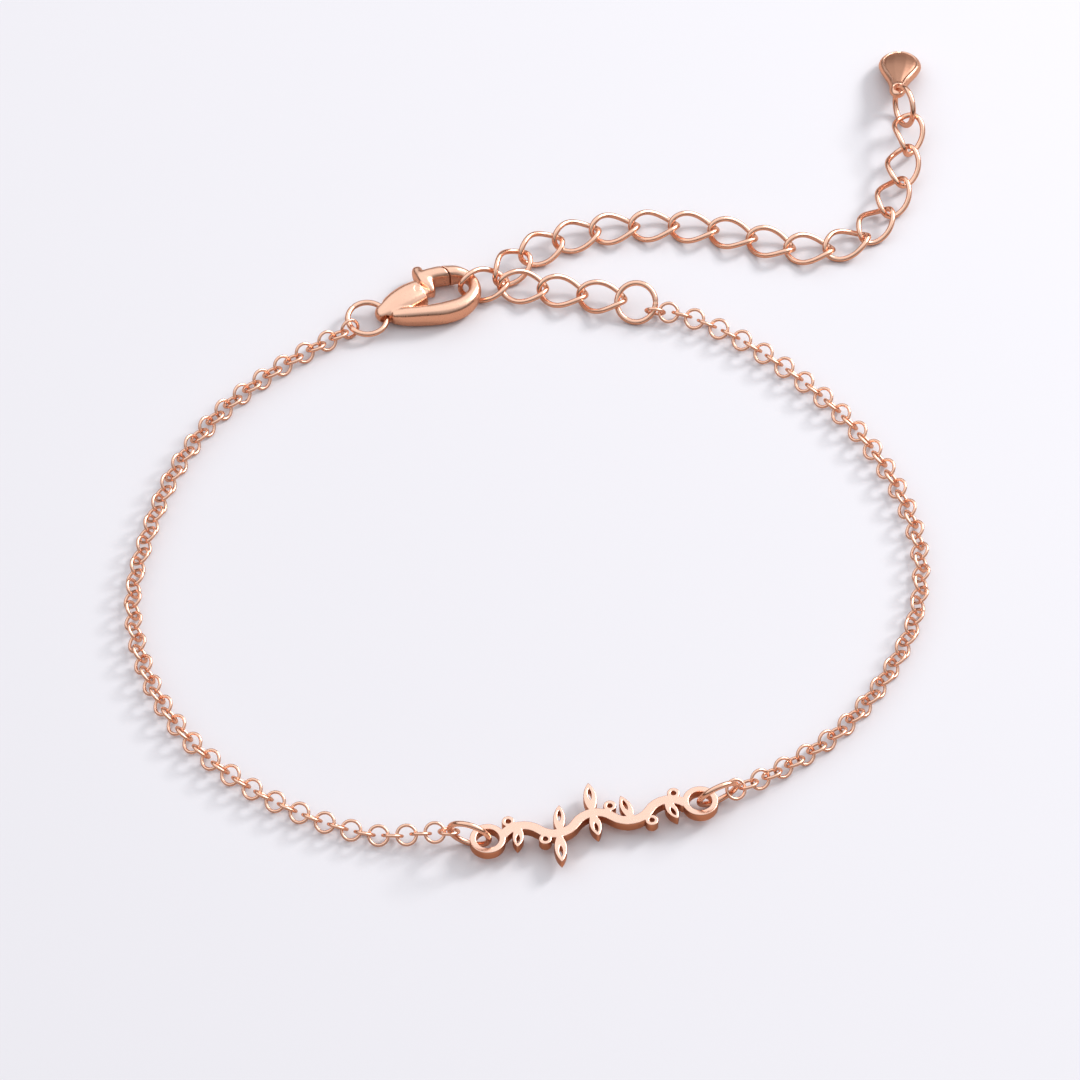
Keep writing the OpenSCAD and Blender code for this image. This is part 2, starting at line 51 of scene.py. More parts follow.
NO_SPAN = 1e-18          # keeps a division by a span of nothing whole, in square metres
LOG = logging.getLogger("bracelet")


# ---------------------------------------------------------------- meshes

def merged(name: str) -> tuple[np.ndarray, np.ndarray]:
    """Reads a frame node's surface with its doubles merged.

    Args:
        name: The node's name.

    Returns:
        Its points in metres and its triangles as rows of point numbers.
    """
    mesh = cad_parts[name].data
    mesh.calc_loop_triangles()
    points = np.empty(len(mesh.vertices) * 3)
    mesh.vertices.foreach_get("co", points)
    faces = np.empty(len(mesh.loop_triangles) * 3, np.int64)
    mesh.loop_triangles.foreach_get("vertices", faces)
    keys = np.round(points.reshape(-1, 3) / DOUBLE).astype(np.int64)
    _, first, back = np.unique(keys, axis=0, return_index=True, return_inverse=True)
    faces = back.reshape(-1)[faces].reshape(-1, 3)
    kept = (faces[:, 0] != faces[:, 1]) & (faces[:, 1] != faces[:, 2]) & (faces[:, 2] != faces[:, 0])
    return points.reshape(-1, 3)[first], faces[kept]


def loose_parts(points: np.ndarray, faces: np.ndarray) -> list[np.ndarray]:
    """Splits a surface into the points of each of its loose solids.

    Args:
        points: Points of the surface.
        faces: Triangles as rows of point numbers.

    Returns:
        One array of points for each solid.
    """
    label = np.arange(len(points))
    a, b = np.concatenate([faces[:, :2], faces[:, 1:]]).T
    while True:
        low = np.minimum(label[a], label[b])
        after = label.copy()
        np.minimum.at(after, a, low)
        np.minimum.at(after, b, low)
        after = after[after]
        if (after == label).all():
            break
        label = after
    return [points[label == k] for k in np.unique(label)]


def axes_of(points: np.ndarray) -> tuple[np.ndarray, np.ndarray]:
    """Finds the middle and the main directions of a cloud of points.

    Args:
        points: The points.

    Returns:
        The middle, and three unit rows from the longest direction to the shortest, right handed.
    """
    middle = points.mean(0)
    _, _, rows = np.linalg.svd(points - middle, full_matrices=False)
    rows[2] = np.cross(rows[0], rows[1])
    return middle, rows


def make_object(name: str, points: np.ndarray, faces: Iterable[Iterable[int]],
                finish: bpy.types.Material) -> bpy.types.Object:
    """Makes a smooth mesh object at the origin.

    Args:
        name: The object's name.
        points: Its points in metres.
        faces: Its faces as rows of point numbers.
        finish: Its first material.

    Returns:
        The new object, linked to the scene.
    """
    mesh = bpy.data.meshes.new(name)
    mesh.from_pydata([tuple(p) for p in points], [], [tuple(int(i) for i in f) for f in faces])
    mesh.update()
    mesh.shade_smooth()
    mesh.materials.append(finish)
    made = bpy.data.objects.new(name, mesh)
    bpy.context.scene.collection.objects.link(made)
    return made


def settled(made: bpy.types.Object) -> bpy.types.Object:
    """Bakes an object's modifiers into its mesh and takes them off.

    Args:
        made: The object.

    Returns:
        The same object with a plain mesh.
    """
    bpy.context.view_layer.update()
    graph = bpy.context.evaluated_depsgraph_get()
    mesh = bpy.data.meshes.new_from_object(made.evaluated_get(graph), depsgraph=graph)
    made.modifiers.clear()
    made.data = mesh
    mesh.name = made.name
    return made


def coordinates(mesh: bpy.types.Mesh) -> np.ndarray:
    """Reads a mesh's points.

    Args:
        mesh: The mesh.

    Returns:
        Its points as rows.
    """
    flat = np.empty(len(mesh.vertices) * 3)
    mesh.vertices.foreach_get("co", flat)
    return flat.reshape(-1, 3)


# ---------------------------------------------------------------- node trees

class Tree:
    """Short way to write a node tree."""

    def __init__(self, tree: bpy.types.NodeTree) -> None:
        """Keeps the tree that nodes are added to."""
        self.tree = tree

    def add(self, kind: str, settings: dict | None = None, **inputs: object) -> bpy.types.Node:
        """Adds a node.

        Args:
            kind: The node's type name.
            settings: Properties of the node.
            inputs: Values or sockets for its inputs, by name with spaces as underscores, or by number as n0.

        Returns:
            The new node.
        """
        node = self.tree.nodes.new(kind)
        for key, value in (settings or {}).items():
            setattr(node, key, value)
        for key, value in inputs.items():
            number = key[1:] if key[0] == "n" and key[1:].isdigit() else None
            socket = node.inputs[int(number)] if number else node.inputs[key.replace("_", " ")]
            if isinstance(value, bpy.types.NodeSocket):
                self.tree.links.new(value, socket)
            else:
                socket.default_value = value
        return node

    def math(self, operation: str, a: object, b: object = 0.0) -> bpy.types.NodeSocket:
        """Adds a math node and returns its result."""
        return self.add("ShaderNodeMath", {"operation": operation}, n0=a, n1=b).outputs[0]

    def noise(self, place: bpy.types.NodeSocket, scale: float, detail: float) -> bpy.types.NodeSocket:
        """Adds a noise texture and returns its value."""
        return self.add("ShaderNodeTexNoise", Vector=place, Scale=scale, Detail=detail).outputs["Fac"]

    def tones(self, share: bpy.types.NodeSocket, one: Iterable[float],
              two: Iterable[float]) -> bpy.types.NodeSocket:
        """Mixes two colours.

        Args:
            share: Share of the second colour.
            one: The first colour.
            two: The second colour.

        Returns:
            The mixed colour.
        """
        mix = self.add("ShaderNodeMix", {"data_type": "RGBA"}, Factor=share)
        mix.inputs["A"].default_value = (*one, 1)
        mix.inputs["B"].default_value = (*two, 1)
        return mix.outputs["Result"]


def geometry_tree(name: str, sizes: dict[str, str]) -> tuple[Tree, bpy.types.Node]:
    """Starts a Geometry Nodes tree with named inputs.

    Args:
        name: The tree's name.
        sizes: Socket type of each named input after the geometry.

    Returns:
        The tree and its input node.
    """
    group = bpy.data.node_groups.new(name, "GeometryNodeTree")
    group.interface.new_socket("Geometry", in_out="INPUT", socket_type="NodeSocketGeometry")
    group.interface.new_socket("Geometry", in_out="OUTPUT", socket_type="NodeSocketGeometry")
    for key, kind in sizes.items():
        group.interface.new_socket(key, in_out="INPUT", socket_type=kind)
    tree = Tree(group)
    return tree, tree.add("NodeGroupInput")


def grown(base: bpy.types.Object, tree: Tree, values: dict[str, object]) -> bpy.types.Object:
    """Runs a Geometry Nodes tree on an object and keeps the result as its plain mesh.

    Args:
        base: The object that the tree starts from.
        tree: The tree.
        values: Values of its named inputs.

    Returns:
        The same object with its new mesh.
    """
    modifier = base.modifiers.new(tree.tree.name, "NODES")
    modifier.node_group = tree.tree
    for item in tree.tree.interface.items_tree:
        if item.in_out == "INPUT" and item.name in values:
            modifier[item.identifier] = values[item.name]
    return settled(base)


# ---------------------------------------------------------------- finishes

class Surface(Enum):
    """How a metal face was left."""

    POLISHED = "polished"
    CAST = "cast"
    CUT = "cut"


@dataclass(frozen=True)
class RoseGold:
    """Rose gold plate over brass, with the faint unevenness that its polish leaves."""

    name: str
    color: tuple[float, float, float]
    deep: tuple[float, float, float]
    roughness: float
    surface: Surface = Surface.POLISHED
    grain: float = 900.0                            # noise cells in a metre
    finer: float = 9.0                              # cells of the fine noise, in times the grain
    lines: float = 4.0                              # and of the lines
    details: tuple[float, float, float] = (3.0, 4.0, 2.0)
    cut_stretch: int = 14                           # how much a cut edge's lines are drawn out
    deep_share: float = 0.5
    spread: tuple[float, float] = (0.85, 1.2)       # of the roughness
    shares: tuple[float, float] = (0.6, 0.4)        # of the grain and the lines in the bump
    bump: float = 0.02
    bump_depth: float = 0.05 * MM

    def material(self) -> bpy.types.Material:
        """Builds the material, with colour, roughness and bump from noise on object coordinates.

        Returns:
            The new material.
        """
        made = bpy.data.materials.new(self.name)
        made.use_nodes = True
        made.node_tree.nodes.clear()
        tree = Tree(made.node_tree)
        place = tree.add("ShaderNodeTexCoord").outputs["Object"]
        broad = tree.noise(place, self.grain, self.details[0])
        fine = tree.noise(place, self.grain * self.finer, self.details[1])
        stretch = (1, 1, self.cut_stretch if self.surface is Surface.CUT else 1)
        lined = tree.add("ShaderNodeMapping", Vector=place, Scale=stretch).outputs[0]
        lines = tree.noise(lined, self.grain * self.lines, self.details[2])
        tone = tree.tones(tree.math("MULTIPLY", broad, self.deep_share), self.color, self.deep)
        rough = tree.add("ShaderNodeMapRange", Value=fine, To_Min=self.roughness * self.spread[0],
                         To_Max=self.roughness * self.spread[1])
        height = tree.math("ADD", tree.math("MULTIPLY", broad, self.shares[0]),
                           tree.math("MULTIPLY", lines, self.shares[1]))
        bump = tree.add("ShaderNodeBump", Strength=self.bump, Distance=self.bump_depth, Height=height)
        shader = tree.add("ShaderNodeBsdfPrincipled", Metallic=1.0, Base_Color=tone,
                          Roughness=rough.outputs[0], Normal=bump.outputs[0])
        tree.add("ShaderNodeOutputMaterial", Surface=shader.outputs[0])
        return made


@dataclass(frozen=True)
class PaleFloor:
    """Matt pale board that the bracelet lies on; what the metal mirrors of it is painted darker and warmer,
    as painted shade in the reflections.
    """

    color: tuple[float, float, float] = (0.788, 0.78, 0.81)
    # painted shade: the floor's colour as the metal mirrors it, darker and warmer than the board
    mirrored: tuple[float, float, float] = (0.58, 0.42, 0.35)
    grain: float = 700.0
    detail: float = 2.0
    speckle: float = 0.02
    darker: float = 0.96

    def material(self) -> bpy.types.Material:
        """Builds the floor's material.

        Returns:
            The new material.
        """
        made = bpy.data.materials.new("pale_floor")
        made.use_nodes = True
        made.node_tree.nodes.clear()
        tree = Tree(made.node_tree)
        place = tree.add("ShaderNodeTexCoord").outputs["Object"]
        grain = tree.noise(place, self.grain, self.detail)
        tone = tree.tones(tree.math("MULTIPLY", grain, self.speckle), self.color,
                          [self.darker * c for c in self.color])
        seen = tree.add("ShaderNodeBsdfDiffuse", Color=tone)
        # painted shade: mirror rays see this darker, warmer colour in place of the floor
        painted_shade = tree.add("ShaderNodeBsdfDiffuse", Color=(*self.mirrored, 1))
        ray = tree.add("ShaderNodeLightPath").outputs["Is Glossy Ray"]
        mixed = tree.add("ShaderNodeMixShader", n0=ray, n1=seen.outputs[0], n2=painted_shade.outputs[0])
        tree.add("ShaderNodeOutputMaterial", Surface=mixed.outputs[0])
        return made


# ---------------------------------------------------------------- pieces

@dataclass
class Piece:
    """A part of the bracelet that is built and then handed to the frame."""

    finish: bpy.types.Material
    body: str = "bracelet"
    slot: str = "rings"

    def hand_over(self, piece: bpy.types.Object, *nodes: str) -> bpy.types.Object:
        """Lets a finished object ride on its body and stand for its nodes.

        Args:
            piece: The finished object.
            nodes: Frame nodes that it stands for.

        Returns:
            The same object.
        """
        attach(piece, self.body)
        if nodes:
            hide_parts(*nodes)
        LOG.info("%s: %d faces", piece.name, len(piece.data.polygons))
        return piece


@dataclass
class CableChain(Piece):
    """One side's length of round links, each passed through the last."""

    slot: str = "chain"
    link_r: float = 0.69 * MM
    wire_r: float = 0.12 * MM
    around: int = 26
    sides: int = 12

    def tree(self) -> Tree:
        """Builds the tree that sets a round link on each point, square to the point's axis.

        Returns:
            The tree.
        """
        tree, given = geometry_tree("round_links", {
            "Link radius": "NodeSocketFloat", "Wire radius": "NodeSocketFloat",
            "Steps round": "NodeSocketInt", "Wire sides": "NodeSocketInt", "Finish": "NodeSocketMaterial"})
        ring = tree.add("GeometryNodeCurvePrimitiveCircle", Resolution=given.outputs["Steps round"],
                        Radius=given.outputs["Link radius"])
        wire = tree.add("GeometryNodeCurvePrimitiveCircle", Resolution=given.outputs["Wire sides"],
                        Radius=given.outputs["Wire radius"])
        link = tree.add("GeometryNodeCurveToMesh", Curve=ring.outputs[0], Profile_Curve=wire.outputs[0])
        axis = tree.add("GeometryNodeInputNamedAttribute", {"data_type": "FLOAT_VECTOR"}, Name="axis")
        turn = tree.add("FunctionNodeAlignRotationToVector", {"axis": "Z"}, Vector=axis.outputs["Attribute"])
        set_out = tree.add("GeometryNodeInstanceOnPoints", Points=given.outputs["Geometry"],
                           Instance=link.outputs[0], Rotation=turn.outputs[0])
        real = tree.add("GeometryNodeRealizeInstances", Geometry=set_out.outputs[0])
        smooth = tree.add("GeometryNodeSetShadeSmooth", Geometry=real.outputs[0])
        dressed = tree.add("GeometryNodeSetMaterial", Geometry=smooth.outputs[0],
                           Material=given.outputs["Finish"])
        tree.add("NodeGroupOutput", Geometry=dressed.outputs[0])
        return tree

    def build(self, side: str) -> bpy.types.Object:
        """Builds the links of one side where the frame's links lie.

        Args:
            side: left or right.

        Returns:
            The chain as one object.
        """
        node = f"chain_{side}"
        frames = [axes_of(part) for part in loose_parts(*merged(node))]
        middles = np.array([middle for middle, _ in frames])
        base = make_object(f"cable_chain_{side}", middles, [], self.finish)
        axis = base.data.attributes.new("axis", "FLOAT_VECTOR", "POINT")
        axis.data.foreach_set("vector", np.array([rows[2] for _, rows in frames]).ravel())
        grown(base, self.tree(), {"Link radius": self.link_r, "Wire radius": self.wire_r,
                                  "Steps round": self.around, "Wire sides": self.sides,
                                  "Finish": self.finish})
        LOG.info("%s: %d links", base.name, len(frames))
        return self.hand_over(base, node)


@dataclass
class CurbExtender(Piece):
    """Twisted links that the clasp can hook into, each a node of its own."""

    slot: str = "extender"
    count: int = 18
    half_length: float = 1.76 * MM
    half_width: float = 1.16 * MM
    wire_r: float = 0.2 * MM
    twist: float = math.radians(88)
    around: int = 64
    sides: int = 18

    def tree(self) -> Tree:
        """Builds the tree that bends a circle into a long link and twists it from end to end.

        Returns:
            The tree.
        """
        tree, given = geometry_tree("twisted_link", {
            "Half length": "NodeSocketFloat", "Half width": "NodeSocketFloat",
            "Wire radius": "NodeSocketFloat", "Twist": "NodeSocketFloat", "Steps round": "NodeSocketInt",
            "Wire sides": "NodeSocketInt", "Finish": "NodeSocketMaterial"})
        circle = tree.add("GeometryNodeCurvePrimitiveCircle", Resolution=given.outputs["Steps round"],
                          Radius=1.0)
        at = tree.add("ShaderNodeSeparateXYZ", Vector=tree.add("GeometryNodeInputPosition").outputs[0])
        turn = tree.math("MULTIPLY", tree.math("MULTIPLY", given.outputs["Twist"], -0.5), at.outputs["X"])
        along = tree.math("MULTIPLY", given.outputs["Half length"], at.outputs["X"])
        side = tree.math("MULTIPLY", given.outputs["Half width"], at.outputs["Y"])
        bent = tree.add("ShaderNodeCombineXYZ", X=along,
                        Y=tree.math("MULTIPLY", side, tree.math("COSINE", turn)),
                        Z=tree.math("MULTIPLY", side, tree.math("SINE", turn)))
        path = tree.add("GeometryNodeSetPosition", Geometry=circle.outputs[0], Position=bent.outputs[0])
        wire = tree.add("GeometryNodeCurvePrimitiveCircle", Resolution=given.outputs["Wire sides"],
                        Radius=given.outputs["Wire radius"])
        link = tree.add("GeometryNodeCurveToMesh", Curve=path.outputs[0], Profile_Curve=wire.outputs[0])
        real = tree.add("GeometryNodeRealizeInstances", Geometry=link.outputs[0])
        smooth = tree.add("GeometryNodeSetShadeSmooth", Geometry=real.outputs[0])
        dressed = tree.add("GeometryNodeSetMaterial", Geometry=smooth.outputs[0],
                           Material=given.outputs["Finish"])
        tree.add("NodeGroupOutput", Geometry=dressed.outputs[0])
        return tree

    def build(self) -> None:
        """Builds each link in the place and turn of its solid."""
        tree = self.tree()
        for number in range(1, self.count + 1):
            node = f"extender_link_{number:02d}"
            middle, rows = axes_of(merged(node)[0])
            link = make_object(f"curb_link_{number:02d}", np.zeros((1, 3)), [], self.finish)
            grown(link, tree, {"Half length": self.half_length, "Half width": self.half_width,
                               "Wire radius": self.wire_r, "Twist": self.twist,
                               "Steps round": self.around, "Wire sides": self.sides,
                               "Finish": self.finish})
            link.data.vertices.foreach_set("co", (coordinates(link.data) @ rows + middle).ravel())
            link.data.update()
            self.hand_over(link, node)


@dataclass
class RoundRings(Piece):
    """Jump rings of plain round wire, butted where they were closed."""

    names: tuple[str, ...] = ("jump_ring_left", "jump_ring_right", "extender_ring", "drop_ring", "clasp_ring")
    ring_r: float = 1.45 * MM
    wire_r: float = 0.208 * MM
    around: int = 96
    sides: int = 20
    seam: float = 0.03 * MM
    seam_span: float = 0.035                        # radians round the ring

    def build(self) -> None:
        """Builds each ring in its solid's place, with the fine groove of its closing cut."""
        t = np.arange(self.around) * 2 * np.pi / self.around
        k = np.arange(self.sides) * 2 * np.pi / self.sides
        from_seam = np.minimum(t, 2 * np.pi - t)
        wire = self.wire_r - self.seam * np.exp(-((from_seam / self.seam_span) ** 2))
        radius = self.ring_r + wire[:, None] * np.cos(k)
        local = np.stack([radius * np.cos(t)[:, None], radius * np.sin(t)[:, None],
                          wire[:, None] * np.sin(k) + 0 * radius], -1).reshape(-1, 3)
        faces = []
        for i in range(self.around):
            here, there = i * self.sides, (i + 1) % self.around * self.sides
            for j in range(self.sides):
                after = (j + 1) % self.sides
                faces.append((here + j, there + j, there + after, here + after))
        for name in self.names:
            middle, rows = axes_of(merged(name)[0])
            self.hand_over(make_object(f"round_{name}", local @ rows + middle, faces, self.finish), name)


@dataclass
class PiercedPlate(Piece):
    """Flat plate cut from sheet, its faces polished and its edges eased.

    The outline is drawn in by less wherever a full step would fold an edge or turn a triangle over.
    """

    slot: str = "plate"
    # material of the walls: a rougher cut edge whose darker colour is also painted shade
    wall_painted_shade: bpy.types.Material | None = None
    ease: float = 0.07 * MM
    steps: int = 4
    level: float = 1e-7                             # points this near the top lie in it, in metres
    sharpest: float = 0.35                          # bounds the step of a sharp corner
    reserve: float = 1.3                            # edges are tested with a longer step
    least_edge: float = 0.15                        # share of an edge that has to be left
    least_area: float = 0.1                         # share of a triangle that has to be left
    give: float = 0.6                               # what a step that is too long is multiplied by
    edge_passes: int = 8
    area_passes: int = 16
    face_weight: int = 100

    def inward(self, points: np.ndarray, faces: np.ndarray) -> tuple[np.ndarray, dict[int, int]]:
        """Finds how each point of a flat face's outline moves when the outline is drawn in.

        Args:
            points: Points of the face.
            faces: Its triangles, counter-clockwise from above.

        Returns:
            A step for each point, zero inside, and the next point round for each outline point.
        """
        edges = {(int(a), int(b)) for tri in faces for a, b in zip(tri, np.roll(tri, -1))}
        following = {a: b for a, b in edges if (b, a) not in edges}
        before = {b: a for a, b in following.items()}
        move = np.zeros((len(points), 2))
        for b, c in following.items():
            a = before[b]
            ways = [points[b, :2] - points[a, :2], points[c, :2] - points[b, :2]]
            left = [np.array([-w[1], w[0]]) / np.linalg.norm(w) for w in ways]
            mean = left[0] + left[1]
            move[b] = mean / max(mean @ mean / 2, self.sharpest)
        start = np.fromiter(following, int)
        end = np.array([following[i] for i in start])
        for _ in range(self.edge_passes):
            span = points[end, :2] - points[start, :2]
            after = span + self.reserve * self.ease * (move[end] - move[start])
            tight = (after * span).sum(1) < self.least_edge * (span * span).sum(1)
            move[np.concatenate([start[tight], end[tight]])] *= self.give
        whole = self.doubled_areas(points[faces])
        for _ in range(self.area_passes):
            drawn_in = np.column_stack([points[:, :2] + self.ease * move, points[:, 2]])
            turned = self.doubled_areas(drawn_in[faces])
            move[faces[turned < self.least_area * whole].ravel()] *= self.give
        return move, following

    @staticmethod
    def doubled_areas(corners: np.ndarray) -> np.ndarray:
        """Finds twice the area of each triangle seen from above, negative for one that is turned over."""
        one, two = corners[:, 1, :2] - corners[:, 0, :2], corners[:, 2, :2] - corners[:, 0, :2]
        return one[:, 0] * two[:, 1] - one[:, 1] * two[:, 0]

    def build(self) -> bpy.types.Object:
        """Builds the plate from the outline of its solid's upper face.

        Returns:
            The plate as one object.
        """
        points, faces = merged("nameplate")
        low, top = points[:, 2].min(), points[:, 2].max()
        upper = faces[(np.abs(points[faces][:, :, 2] - top) < self.level).all(1)]
        used, upper = np.unique(upper, return_inverse=True)
        upper = upper.reshape(-1, 3)
        flat = points[used]
        turned = self.doubled_areas(flat[upper]) < 0
        upper[turned] = upper[turned][:, ::-1]
        move, following = self.inward(flat, upper)
        out_line = sorted(following)
        number = {p: i for i, p in enumerate(out_line)}
        rows = []
        for k in range(1, self.steps + 1):
            angle = math.pi / 2 * k / self.steps
            rows.append((self.ease * (1 - math.sin(angle)), top - self.ease * (1 - math.cos(angle))))
        rows += [(inset, low + top - height) for inset, height in reversed(rows)]
        verts = [np.column_stack([flat[:, :2] + self.ease * move, np.full(len(flat), top)])]
        for inset, height in rows:
            verts.append(np.column_stack([flat[out_line, :2] + inset * move[out_line],
                                          np.full(len(out_line), height)]))
        verts.append(np.column_stack([flat[:, :2] + self.ease * move, np.full(len(flat), low)]))
        base = [0, *(len(flat) + i * len(out_line) for i in range(len(rows) + 1))]
        made = [tuple(f) for f in upper] + [tuple(base[-1] + i for i in reversed(f)) for f in upper]
        # 1 marks the wall faces, which take the cut-edge material with its painted shade
        kinds = [0] * len(made)
        for k in range(len(rows) + 1):
            for p, q in following.items():
                if k == 0:
                    near = (p, q)
                else:
                    near = (base[k] + number[p], base[k] + number[q])
                if k == len(rows):
                    far = (base[-1] + p, base[-1] + q)
                else:
                    far = (base[k + 1] + number[p], base[k + 1] + number[q])
                made.append((near[1], near[0], far[0], far[1]))
                kinds.append(1 if self.steps - 1 <= k <= len(rows) - self.steps + 1 else 0)
        plate = make_object("pierced_plate", np.vstack(verts), made, self.finish)
        plate.data.materials.append(self.wall_painted_shade)
        plate.data.polygons.foreach_set("material_index", kinds)
        weigh = plate.modifiers.new("flat_faces", "WEIGHTED_NORMAL")
        weigh.weight = self.face_weight
        weigh.keep_sharp = False
        return self.hand_over(settled(plate), "nameplate")


@dataclass
class CastPiece(Piece):
    """A small cast piece, made from its solid with the corners softened as tumbling leaves them."""

    voxel: float = 0.04 * MM
    passes: int = 70
    factor: float = 0.5
    seam_r: float = 2.765 * MM                      # of the cut between arm and tip, about the pin
    seam_half: float = 0.1 * MM
    end_depth: float = 0.03 * MM                    # how much of the arm's end marks the seam's place
    end_reach: float = 1.3 * MM
    fade: float = 0.3 * MM
    levels: int = 10

    def softness(self, points: np.ndarray) -> np.ndarray:
        """Finds how much each point is smoothed, little where the lever's arm meets the hook's tip.

        Args:
            points: Points of the piece.

        Returns:
            A share for each point, from 0.1 beside that seam to 1 away from it.
        """
        lever, pin = merged("clasp_lever")[0], merged("clasp_pin")[0].mean(0)
        reach = np.linalg.norm(lever[:, :2] - pin[:2], axis=1)
        end = lever[reach > reach.max() - self.end_depth].mean(0)
        from_seam = np.abs(np.linalg.norm(points[:, :2] - pin[:2], axis=1) - self.seam_r)
        from_end = np.linalg.norm(points - end, axis=1)
        clear = np.maximum((from_seam - self.seam_half) / self.fade, (from_end - self.end_reach) / self.fade)
        return np.clip(clear, 1 / self.levels, 1.0)

    def soften(self, node: str, name: str,
               shape: Callable[[np.ndarray], np.ndarray] | None = None) -> bpy.types.Object:
        """Builds the piece.

        Args:
            node: Frame node that it stands for.
            name: The new object's name.
            shape: Moves its points after the smoothing, or None.

        Returns:
            The new object.
        """
        points, faces = merged(node)
        piece = make_object(name, points, faces, self.finish)
        remesh = piece.modifiers.new("even", "REMESH")
        remesh.mode = "VOXEL"
        remesh.voxel_size = self.voxel
        settled(piece)
        share = np.round(self.softness(coordinates(piece.data)) * self.levels).astype(int)
        group = piece.vertex_groups.new(name="soft")
        for level in range(1, self.levels + 1):
            group.add(np.flatnonzero(share == level).tolist(), level / self.levels, "REPLACE")
        smooth = piece.modifiers.new("soft", "SMOOTH")
        smooth.factor = self.factor
        smooth.iterations = self.passes
        smooth.vertex_group = group.name
        settled(piece)
        piece.vertex_groups.clear()
        if shape:
            piece.data.vertices.foreach_set("co", shape(coordinates(piece.data)).ravel())
            piece.data.update()
        piece.data.shade_smooth()
        piece.data.materials.clear()
        piece.data.materials.append(self.finish)
        return self.hand_over(piece, node)


@dataclass
class PolishedPin(Piece):
    """The lever's pin, filed flush with the clasp and polished over."""

    slot: str = "pin"
    around: int = 40
    over: float = 0.045 * MM
    play: float = 0.012 * MM
    head: float = 0.14 * MM
    head_depth: float = 0.1 * MM
    dome: float = 0.07 * MM
    dome_steps: int = 9
    dome_start: float = 0.05                        # radians from the dome's middle

    def build(self) -> bpy.types.Object:
        """Builds the pin with softly domed ends.

        Returns:
            The pin as one object.
        """
        points, _ = merged("clasp_pin")
        low, high = points.min(0), points.max(0)
        middle = (low + high) / 2
        radius = (high[0] - low[0]) / 2 + self.play
        half = (high[2] - low[2]) / 2 + self.over
        wide = radius + self.head
        rows = [(wide * math.sin(a), half - self.dome * (1 - math.cos(a)))
                for a in np.linspace(self.dome_start, np.pi / 2, self.dome_steps)]
        rows += [(wide, half - self.head_depth), (radius, half - self.head_depth)]
        rows += [(r, -z) for r, z in reversed(rows)]
        turn = np.arange(self.around) * 2 * np.pi / self.around
        verts = [middle + np.array([r * math.cos(t), r * math.sin(t), z]) for r, z in rows for t in turn]
        n = self.around
        faces = [tuple(range(n)), tuple(reversed(range(len(verts) - n, len(verts))))]
        faces += [(k * n + (i + 1) % n, k * n + i, (k + 1) * n + i, (k + 1) * n + (i + 1) % n)
                  for k in range(len(rows) - 1) for i in range(n)]
        return self.hand_over(make_object("polished_pin", np.array(verts), faces, self.finish), "clasp_pin")


@dataclass
class FlatDrop(CastPiece):
    """Flat pear drop at the free end, its upper face sunk inside a raised rim, the sunk field coloured darker
    as painted shade.
    """

    slot: str = "drop"
    passes: int = 16
    rim: float = 0.26 * MM
    rim_slope: float = 0.16 * MM
    neck: float = 1.2 * MM                          # length round the hole that isn't sunk
    neck_slope: float = 0.3 * MM
    sunk: float = 0.1 * MM
    upper: float = 0.05 * MM                        # height above the middle where the upper face begins
    slices: int = 60
    slice_passes: int = 6
    painted_shade_from: float = 0.6                               # share of the full depth where the darker colour of painted shade begins
    field_painted_shade: bpy.types.Material | None = None

    def build(self) -> bpy.types.Object:
        """Builds the drop, its sunk field in a rougher finish whose darker colour is painted shade.

        Returns:
            The drop as one object.
        """
        steps: list[np.ndarray] = []

        def shape(points: np.ndarray) -> np.ndarray:
            """Sinks the field and keeps how far each point sank.

            Args:
                points: The drop's points.

            Returns:
                The moved points.
            """
            sunk = self.sink(points)
            steps.append(np.linalg.norm(sunk - points, axis=1) / self.sunk)
            return sunk

        drop = self.soften("drop", "flat_drop", shape)
        drop.data.materials.append(self.field_painted_shade)
        faces = np.array([p.vertices[0] for p in drop.data.polygons])
        # painted shade: faces sunk deeper than this share take the darker field colour
        drop.data.polygons.foreach_set("material_index", (steps[0][faces] > self.painted_shade_from).astype(np.int32))
        return drop

    def sink(self, points: np.ndarray) -> np.ndarray:
        """Lowers the field inside the rim of the upper face.

        Args:
            points: The drop's points.

        Returns:
            The moved points.
        """
        middle, rows = axes_of(points)
        far_and_up = np.array([0.0, 1.0, 0.001])
        rows = rows * np.sign(rows @ far_and_up)[:, None]
        up = rows[2] if rows[2][2] > 0 else -rows[2]
        local = (points - middle) @ np.stack([rows[0], rows[1], up]).T
        bins = np.linspace(local[:, 0].min(), local[:, 0].max(), self.slices)
        place = np.digitize(local[:, 0], bins) - 1
        half = np.array([np.abs(local[place == i, 1]).max() if (place == i).any() else 0
                         for i in range(self.slices)])
        for _ in range(self.slice_passes):
            half[1:-1] = (half[:-2] + 2 * half[1:-1] + half[2:]) / 4
        edge = np.concatenate([np.column_stack([bins, half]), np.column_stack([bins, -half])[::-1]])
        away = np.full(len(local), 1.0)
        for a, b in zip(edge, np.roll(edge, -1, 0)):
            span = b - a
            t = np.clip((local[:, :2] - a) @ span / max(span @ span, NO_SPAN), 0, 1)
            away = np.minimum(away, np.linalg.norm(local[:, :2] - a - t[:, None] * span, axis=1))
        from_end = local[:, 0] - bins[0]
        inside = (np.clip((away - self.rim) / self.rim_slope, 0, 1)
                  * np.clip((from_end - self.neck) / self.neck_slope, 0, 1))
        step = inside * inside * (3 - 2 * inside) * (local[:, 2] > self.upper)
        return points - self.sunk * step[:, None] * up


# ---------------------------------------------------------------- room

